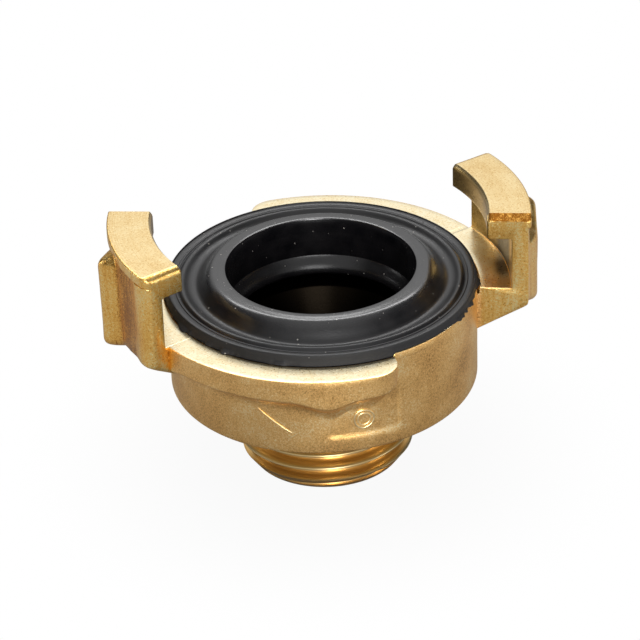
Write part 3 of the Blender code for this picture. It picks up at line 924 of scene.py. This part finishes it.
# %% A surface finish
class Finish(Nodes):
    """A material with one Principled shader and a few ready-made values."""
    def __init__(self, name):
        self.material = bpy.data.materials.new(name)
        self.material.use_nodes = True
        super().__init__(self.material.node_tree)
        self.shader = self.tree.nodes["Principled BSDF"]
        place = {"Vector": self.node("ShaderNodeTexCoord", {}, {}, "Object"), "Scale": 1 / MM}
        self.mm = self.node("ShaderNodeVectorMath", {"operation": "SCALE"}, place)
        axes = self.node("ShaderNodeSeparateXYZ", {}, [self.mm])
        self.x, self.y, self.z = (axes.output(name) for name in "XYZ")
        self.radius = (self.x * self.x + self.y * self.y).maths("SQRT")
        facing = self.node("ShaderNodeNewGeometry", {}, {}, "Normal")
        self.up = self.node("ShaderNodeSeparateXYZ", {}, [facing], "Z")

    def noise(self, scale, detail=2.0, place=None, roughness=0.5):
        """Noise with this many features in a millimetre, from 0 to 1."""
        inputs = {"Vector": place or self.mm, "Scale": scale, "Detail": detail, "Roughness": roughness}
        return self.node("ShaderNodeTexNoise", {}, inputs, "Fac")

    def turning_lines(self, per_mm):
        """Fine rings round the water axis, as a lathe tool leaves them."""
        spot = self.node("ShaderNodeCombineXYZ", {}, [self.radius, self.z, 0.0])
        return self.noise(per_mm, 2.0, spot, 0.6)

    def across_claw(self):
        """Sine of the angle from the middle of the nearest claw."""
        return self.y * self.x.maths("SIGN") / self.radius

    def open_space(self, reach):
        """1 in the open, falling to 0 where other faces stand within this many millimetres."""
        return self.node("ShaderNodeAmbientOcclusion", {"samples": 4}, {"Distance": reach * MM}, "AO")

    def bump(self, height, strength, depth):
        inputs = {"Height": height, "Strength": strength, "Distance": depth * MM}
        return self.node("ShaderNodeBump", {}, inputs, "Normal")

    def done(self, **sockets):
        """Fills in the shader's sockets and returns the material."""
        for key, value in sockets.items():
            self.feed(self.shader.inputs[key.replace("_", " ")], value)
        print(f"{self.material.name}: {len(self.tree.nodes)} nodes into {', '.join(sockets)}")
        return self.material


print("a finish starts from", bpy.types.ShaderNodeBsdfPrincipled.bl_rna.name)

# %% [markdown]
# ## Forged brass
# A forged skin is blasted clean, so it has a fine grain of peaks and pits. Light catches the peaks, and a
# brown film stays in the pits. The film is a sum of noises from fine to slow, read through a colour ramp.
# One noise alone would look like cloth. The corners get painted shade: ambient occlusion, which knows
# where other faces stand close by, darkens the colour there.
#
# The drum is matt and tan, with a painted highlight on one spot low on its front. The claws are handled
# more, so they are golden and smoother, with faint upright streaks. Their hollow gets painted shade under
# the band, and the bevel on top is darker.

# %% Grain, painted shade and a painted highlight on forged brass
skin = Finish("Forged brass")
grain, fine, patches = skin.noise(4.0, 2.0), skin.noise(8.0, 2.0), skin.noise(0.22, 3.0)
stretched = skin.node("ShaderNodeVectorMath", {"operation": "MULTIPLY"}, [skin.mm, (1.5, 1.5, 0.1)])
streaks = skin.noise(1.0, 2.0, stretched)
# Painted shade: the colour darkens where ambient occlusion finds other faces within a millimetre.
forged_painted_corner_shade = 1 - skin.open_space(1.0).over(0.3, 0.9)
across = skin.across_claw()
on_claw = (1 - across.maths("ABSOLUTE").over(0.375, 0.42)) * skin.radius.over(18.6, 19.0)
# Painted shade in the claw's hollow, below the turned band.
hollow = across.near(0.14, 0.2).over(0.1, 0.8) * (1 - skin.z.over(30.4, 31.2)) * skin.radius.over(23.2, 23.7)
bevel = skin.up.near(0.69, 0.25).over(0.1, 0.5) * skin.z.over(31.5, 31.6) * (1 - across.over(-0.35, -0.3))
# A painted highlight: a brighter spot low on the drum's front.
painted_highlight_spot = skin.x.near(2.2, 3.6).over(0.0, 0.6) * skin.z.near(13.0, 0.9) * (1 - skin.y.over(-12.0, -10.0))
print("masks for the forged skin:", len(skin.tree.nodes), "nodes so far")

# %% Colours of forged brass
# The drum's colour: grain and patches, with painted shade in corners and the painted highlight spot.
drum_grain_and_painted_light = grain * 0.3 + fine * 0.34 + patches * 0.36 + 0.012 - forged_painted_corner_shade * 0.08 + painted_highlight_spot * 0.12
tan = skin.ramp(drum_grain_and_painted_light, [
    (0.30, (0.34, 0.155, 0.04)), (0.43, (0.76, 0.44, 0.155)),
    (0.55, (0.96, 0.60, 0.225)), (0.66, (1.0, 0.80, 0.45))])
# The claws' colour: grain, patches and streaks, with painted shade in corners and in the hollow.
claw_grain_and_painted_shade = grain * 0.28 + fine * 0.28 + patches * 0.2 + streaks * 0.24 + 0.03
claw_grain_and_painted_shade = claw_grain_and_painted_shade - forged_painted_corner_shade * 0.05 - hollow * 0.16 - bevel * 0.2
gold = skin.ramp(claw_grain_and_painted_shade, [
    (0.33, (0.34, 0.125, 0.016)), (0.44, (0.84, 0.43, 0.09)),
    (0.54, (1.0, 0.61, 0.165)), (0.63, (1.0, 0.80, 0.38))])
forged = skin.done(
    Base_Color=skin.blend(on_claw, tan, gold), Metallic=1.0, Roughness=0.33 + grain * 0.18 - on_claw * 0.11,
    Normal=skin.bump(grain * 0.4 + fine * 0.6, 0.7, 0.05))

# %% [markdown]
# ## Raised marks
# Whatever stands above the drum is rubbed by hands and pockets first. The marks are too narrow to show
# any grain, so one clear colour, paler and a little smoother than the skin around, is all they need.

# %% Worn marks
worn_marks = Finish("Worn raised brass")
raised = worn_marks.done(Base_Color=(0.96, 0.78, 0.45, 1), Metallic=1.0, Roughness=0.36)

# %% [markdown]
# ## Turned brass
# The lathe leaves a brighter face with fine rings and a little grain. The colour also follows the way a face
# looks, which paints light and shade: upright faces inside the claws are a darker orange, as painted shade,
# and level faces are cream, partly the paler colour of cut brass and partly a painted highlight. The lip's
# inner face is browner, and the back of the slot is painted nearly black, as painted shade and a painted
# reflection of the black rubber. Level faces get painted shade in their corners and at the near end of the
# slot, and darker painted shade under the lip on the slot's floor. Inside the seat hardly any light returns,
# so the colour fades to black there.
# All of this hangs on the place and on the way that a face looks, so one material serves every turned face.

# %% Upright turned faces
cut = Finish("Turned brass")
rings, grain, broad = cut.turning_lines(9.0), cut.noise(4.5, 2.0), cut.noise(0.35, 2.0)
tone = rings * 0.3 + grain * 0.45 + broad * 0.25
across, slot_low = cut.across_claw(), 1 - cut.z.over(23.0, 24.0)
# Upright faces get this darker orange, a painted shade beside the paler level faces.
orange = cut.ramp(tone, [(0.34, (0.72, 0.42, 0.11)), (0.62, (0.99, 0.70, 0.27))])
# Painted shade and a painted dark reflection of the rubber on the back wall of the slot.
slot_back_painted_dark = across.near(-0.05, 0.2).over(0.1, 0.6) * cut.radius.over(21.5, 22.3)
lip_face = cut.z.over(28.9, 29.4) * (1 - cut.radius.over(20.4, 20.8)) * 0.75
slot_wall = cut.blend(slot_back_painted_dark * 0.95, orange, (0.05, 0.032, 0.009))
upright = cut.blend(lip_face, slot_wall, (0.30, 0.19, 0.06))
print("upright turned faces:", len(cut.tree.nodes), "nodes so far")

# %% Level turned faces
# Level faces low down are cream, partly cut brass and partly a painted highlight; higher ones are golden.
cream = cut.ramp(tone, [(0.34, (0.86, 0.66, 0.34)), (0.48, (0.97, 0.83, 0.54)), (0.62, (1.0, 0.92, 0.68))])
golden = cut.ramp(tone, [(0.34, (0.72, 0.48, 0.19)), (0.48, (0.86, 0.64, 0.31)), (0.62, (0.94, 0.77, 0.44))])
# Painted shade under the lip, on the floor of the slot.
shade = across.near(-0.14, 0.16).over(0.1, 0.8) * cut.radius.over(19.8, 21.4) * slot_low * 0.85
# Painted shade at the near end of the slot's floor.
slot_entry_painted_shade = across.near(-0.33, 0.12).over(0.0, 0.7) * slot_low * 0.5
# Painted shade in corners, from ambient occlusion, with the near end of the slot added.
turned_painted_shade = ((1 - cut.open_space(4.0).over(0.12, 0.55)) * 0.6 + slot_entry_painted_shade).clamp()
level = cut.blend(turned_painted_shade, cut.blend(cut.z.over(23.5, 26.0), cream, golden), (0.62, 0.33, 0.065))
level = cut.blend(shade, level, (0.10, 0.065, 0.018))
# The way a face looks picks its colour: painted light and shade by facing.
face = cut.blend(cut.up.over(0.3, 0.75), upright, level)
face = cut.blend(cut.radius.over(14.0, 18.66), (0.008, 0.006, 0.004), face)
turned_brass = cut.done(
    Base_Color=face, Metallic=1.0, Roughness=0.24 + grain * 0.1,
    Normal=cut.bump(rings * 0.5 + grain * 0.5, 0.25, 0.025))

# %% [markdown]
# ## Thread brass
# The thread is cut last and handled least: clean, orange and shinier than the rest, with crests worn
# bright. The radius alone tells a crest from a flank, and the bore from both. The bore is painted nearly
# black, as painted shade.

# %% Thread
screw = Finish("Thread brass")
rings = screw.turning_lines(3.0)
worn = screw.radius.over(10.2, 10.43)
flanks = screw.ramp(rings, [(0.35, (0.74, 0.44, 0.145)), (0.65, (0.95, 0.64, 0.25))])
metal = screw.blend(worn, flanks, (0.99, 0.76, 0.38))
# Painted shade: the bore inside the thread fades to nearly black.
colour = screw.blend(screw.radius.over(8.2, 8.6), (0.012, 0.008, 0.004), metal)
thread_brass = screw.done(
    Base_Color=colour, Metallic=1.0, Roughness=0.24 + rings * 0.1, Normal=screw.bump(rings, 0.15, 0.02))

# %% [markdown]
# ## Rubber
# Moulded black rubber has a soft sheen, faint rings from the mould and a scatter of dust. The dust is the
# centres of a cell texture, kept only where a slow noise is high, so that it lies in drifts. The bead was
# polished by wear, which a thin clear coat shows.

# %% Rubber
black = Finish("Moulded rubber")
rings, grain, bloom = black.turning_lines(2.2), black.noise(5.0, 2.0), black.noise(0.5, 3.0)
specks = black.node("ShaderNodeTexVoronoi", {}, {"Vector": black.mm, "Scale": 1.1}, "Distance")
dust = (1 - specks.over(0.05, 0.13)) * black.noise(0.55, 1.0).over(0.50, 0.58)
coat = black.ramp(bloom * 0.6 + rings * 0.4, [(0.35, (0.003, 0.003, 0.004)), (0.7, (0.012, 0.011, 0.012))])
rim_matt = black.radius.over(12.8, 14.5) * 0.1 + black.radius.over(17.95, 18.15) * 0.3
roughness = 0.2 + rim_matt + bloom * 0.1 + dust * 0.2
bead_top = (1 - black.radius.over(12.9, 14.0)) * black.z.over(24.4, 24.9)
rubber = black.done(
    Base_Color=black.blend(dust * 0.8, coat, (0.45, 0.42, 0.38)), Roughness=roughness, Specular_IOR_Level=0.6,
    Coat_Weight=bead_top * 0.55, Coat_Roughness=0.16,
    Normal=black.bump(rings * 0.35 + grain * 0.65, 0.4, 0.05))

# %% [markdown]
# ## Giving each face its finish
# The body is one mesh, so its machined faces are told apart by where they are: everything below the drum,
# the seat and its rim, the level faces at the turned heights, and the inside of the claws with the flat
# ends of their slots. Faces that none of these rules takes stay forged.

# %% Tell machined faces from forged ones
FORGED, TURNED, THREADED = 0, 1, 2


def finish_of(polygon):
    c, n = polygon.center / MM, polygon.normal
    r = max(math.hypot(c.x, c.y), 0.001)
    inward, around = (n.x * c.x + n.y * c.y) / r, abs(n.y * c.x - n.x * c.y) / r
    if c.z < SPIGOT + 0.45 and r < 17.6:
        return THREADED
    seat = r < GROOVE_OUT + 0.02 and c.z > 18.0 and (inward < 0.5 or c.z > HIGH_RIM - 0.06)
    drum_wall = r > 18.0 and c.z < GROOVE_FLOOR - 0.02
    level = n.z > 0.99 and (abs(c.z - TOP) < 0.06 or c.z > LIP_TOP - 0.08)
    inside_claw = c.z > TOP and r < WEB_IN + 0.25 and (inward < -0.6 or abs(n.z) > 0.99)
    slot_end = TOP - 0.2 < c.z < LIP_UNDER + 0.2 and r < WEB_IN + 0.2 and 0.2 < around < 0.97
    machined = (seat and not drum_wall) or r < 14.0 or level or inside_claw or slot_end
    return TURNED if machined else FORGED


body.data.materials.clear()
for material in (forged, turned_brass, thread_brass):
    body.data.materials.append(material)
kinds = [finish_of(polygon) for polygon in body.data.polygons]
body.data.polygons.foreach_set("material_index", kinds)
print("faces forged, turned and threaded:", [kinds.count(kind) for kind in (FORGED, TURNED, THREADED)])

# %% Smooth the shading and finish the other pieces
SHARP_EDGE = math.radians(28)
for piece in (body, ring, *marks):
    piece.data.polygons.foreach_set("use_smooth", [True] * len(piece.data.polygons))
    piece.data.set_sharp_from_angle(angle=SHARP_EDGE)
for mark in marks:
    mark.data.materials.append(raised)
ring.data.materials.append(rubber)
print("pieces with smooth shading:", 2 + len(marks))

# %% [markdown]
# ## What each piece stands for
# The dressed body replaces the plain CAD body, and the dressed ring the plain ring. The marks are part of
# the brass. Nothing moves, so all pieces ride on the one body of the model.

# %% Tie the pieces to the CAD model
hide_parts("coupling_body")
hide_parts("sealing_ring")
for piece in (body, *marks):
    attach(piece, "root")
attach(ring, "root")
print("tied:", [piece.name for piece in (body, ring, *marks)])

# %% [markdown]
# ## A floor of white paper
# The camera sees the floor as white, with a little of the real grey paper near the part, which carries the
# object's soft shadow. Reflections see that paper too, and it grows lighter further out, with brighter
# strips at the two sides, because brass needs something dark beside something light to look like metal.
# The Light Path node tells these kinds of rays apart, so no lamp has to be turned up for a white ground.

# %% Floor
FLOOR_HALF, BELOW = 3.0, 0.0001  # metres
sides = (-1, -1), (1, -1), (1, 1), (-1, 1)
floor_mesh = bpy.data.meshes.new("floor")
floor_mesh.from_pydata([(FLOOR_HALF * x, FLOOR_HALF * y, -BELOW) for x, y in sides], [], [(0, 1, 2, 3)])
floor = bpy.data.objects.new("floor", floor_mesh)
bpy.context.scene.collection.objects.link(floor)
paper = Finish("White paper")
rays = paper.node("ShaderNodeLightPath", {}, {})
to_camera = rays.output("Is Camera Ray").maths("MAXIMUM", rays.output("Is Transmission Ray"))
strips = paper.x.maths("ABSOLUTE").over(34.0, 50.0) * 0.22
to_metal = rays.output("Is Glossy Ray") * (paper.radius.over(7.0, 34.0) * 0.12 + strips)
share = (to_camera * (0.94 + paper.radius.over(8.0, 40.0) * 0.06)).maths("MAXIMUM", to_metal)
white = paper.node("ShaderNodeEmission", {}, {"Color": (1, 1, 1, 1), "Strength": 1.0})
grey_paper = Value(paper, paper.shader.outputs[0])
mixed = paper.node("ShaderNodeMixShader", {}, {0: share, 1: grey_paper, 2: white})
paper.feed(paper.tree.nodes["Material Output"].inputs["Surface"], mixed)
floor_mesh.materials.append(paper.done(Base_Color=(0.2, 0.2, 0.2, 1), Roughness=0.9))
floor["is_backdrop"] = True

# %% [markdown]
# ## The sky of the studio
# A soft dome lights the part from everywhere, but not evenly. Behind the part it has a bright band a
# third of the way up, which the level turned faces mirror. The two sides are dark, so that the round
# drum and the rubber get dark edges, and the ceiling is pale. In front it is evenly light. Each stretch
# is a ramp over the height, and the direction blends between them. The camera itself sees plain white.

# %% Brightness of the sky over its height
SKY_STRENGTH = 2.5
BACK = math.radians(75)  # straight away from the camera
LEVELS = {
    "back": [(0.0, 0.15), (0.12, 0.35), (0.25, 0.6), (0.42, 0.75), (0.54, 1.0), (0.75, 0.7), (0.9, 0.7),
             (1.0, 0.85)],
    "side": [(0.0, 0.04), (0.5, 0.05), (0.8, 0.2), (1.0, 0.85)],
    "front": [(0.0, 0.5), (0.5, 0.6), (0.8, 0.7), (1.0, 0.85)]}
world = bpy.data.worlds.new("Studio sky")
bpy.context.scene.world = world
world.use_nodes = True
dome = Nodes(world.node_tree)
dome.tree.nodes.clear()
direction = dome.node("ShaderNodeTexCoord", {}, {}, "Generated")
axes = dome.node("ShaderNodeSeparateXYZ", {}, [direction])
height = axes.output("Z")
greys = {name: [(at, (level / SKY_STRENGTH,) * 3) for at, level in stops] for name, stops in LEVELS.items()}
back, side, front = (dome.ramp(height, greys[name]) for name in ("back", "side", "front"))
brightest = max(LEVELS["back"], key=lambda stop: stop[1])[0]
print(f"the band behind is brightest {math.degrees(math.asin(brightest)):.0f} degrees up")

# %% Blend the sky round the horizon
level_length = (1 - height * height).maths("SQRT").maths("MAXIMUM", 0.01)
towards_back = (axes.output("X") * math.cos(BACK) + axes.output("Y") * math.sin(BACK)) / level_length
spread = towards_back - 0.22 * (1 - height.over(0.12, 0.42))
front_share = (1 - towards_back).over(1.35, 1.8)
studio = dome.blend(spread.over(0.55, 0.84), dome.blend(front_share, side, front), back)
rays = dome.node("ShaderNodeLightPath", {}, {})
sky = dome.blend(rays.output("Is Camera Ray"), studio, (1 / SKY_STRENGTH,) * 3)
background = dome.node("ShaderNodeBackground", {}, {"Color": sky, "Strength": SKY_STRENGTH})
dome.feed(dome.tree.nodes.new("ShaderNodeOutputWorld").inputs["Surface"], background)
print("sky:", len(dome.tree.nodes), "nodes")

# %% [markdown]
# ## Softboxes
# Five softboxes stand round the part, placed by compass bearing and height like real ones. The large one
# in front gives the drum its even light, and the small one below it brightens the edges of drum and flange.
# The wide one high up behind lights the turned faces and draws the highlight on the rubber bead. The tall
# ones left and right catch the rounded ends of the claws. Area lamps are used, as their size softens edges.

# %% Lamps
AIM = Vector((0, 0, 18.0)) * MM


def outwards(azimuth, elevation):
    """Unit vector in this direction, both angles in radians."""
    level = math.cos(elevation)
    return Vector((level * math.cos(azimuth), level * math.sin(azimuth), math.sin(elevation)))


def softbox(name, bearing, elevation, distance, width, height, radiance):
    """A rectangular lamp, with angles in degrees and lengths in metres, that points at the part."""
    light = bpy.data.lights.new(name, "AREA")
    light.shape, light.size, light.size_y = "RECTANGLE", width, height
    light.energy = radiance * math.pi * width * height
    lamp = bpy.data.objects.new(name, light)
    bpy.context.scene.collection.objects.link(lamp)
    out = outwards(math.radians(bearing), math.radians(elevation))
    lamp.location = AIM + out * distance
    lamp.rotation_euler = (-out).to_track_quat("-Z", "Y").to_euler()
    lamp.visible_camera = False
    print(f"{name}: {light.energy:.2f} W")


softbox("front", 262, 30, 0.50, 0.26, 0.20, 3.1)
softbox("low_front", 262, 9, 0.50, 0.16, 0.14, 14.0)
softbox("top", 75, 53, 0.55, 0.62, 0.09, 7.0)
softbox("left", 155, 12, 0.50, 0.07, 0.22, 4.0)
softbox("right", 325, 6, 0.50, 0.09, 0.15, 8.5)

# %% [markdown]
# ## The camera
# The photograph was taken from 35 cm away with a long lens, 31 degrees above the table, and a little
# tilted. These values come from matching the turned circles of the part to the picture. A matrix built
# from three directions is used here, because a tilt is hard to read in a set of three rotations.

# %% Camera
CAMERA_AZIMUTH, CAMERA_ELEVATION, CAMERA_ROLL = (math.radians(angle) for angle in (255, 30.834, -2.061))
CAMERA_DISTANCE, FOCAL_LENGTH, SENSOR = 0.35, 166.15, 36
target = Vector((-0.2985, 0.0800, 17.841)) * MM
towards = outwards(CAMERA_AZIMUTH, CAMERA_ELEVATION)
level_right = Vector((-math.sin(CAMERA_AZIMUTH), math.cos(CAMERA_AZIMUTH), 0))
level_up = towards.cross(level_right)
right = level_right * math.cos(CAMERA_ROLL) + level_up * math.sin(CAMERA_ROLL)
up = level_up * math.cos(CAMERA_ROLL) - level_right * math.sin(CAMERA_ROLL)
camera_data = bpy.data.cameras.new("camera")
camera_data.lens, camera_data.sensor_width, camera_data.clip_start = FOCAL_LENGTH, SENSOR, 0.01
camera = bpy.data.objects.new("camera", camera_data)
bpy.context.scene.collection.objects.link(camera)
place = target + towards * CAMERA_DISTANCE
camera.matrix_world = Matrix((
    (right.x, up.x, towards.x, place.x), (right.y, up.y, towards.y, place.y),
    (right.z, up.z, towards.z, place.z), (0, 0, 0, 1)))
bpy.context.scene.camera = camera
bpy.context.scene.view_settings.view_transform = "Standard"
print("camera at", [round(length / MM, 1) for length in place], "mm")

# %% [markdown]
# ## Last checks
# The dressed model must stay in the CAD model's box, so both boxes are measured and written out side by
# side. The ribs may stand out a little at the two ends.


for name, (low, high) in (("CAD model", cad_box), ("dressed model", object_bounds())):
    print(name, "in mm:", [round((b - a) / MM, 2) for a, b in zip(low, high)])
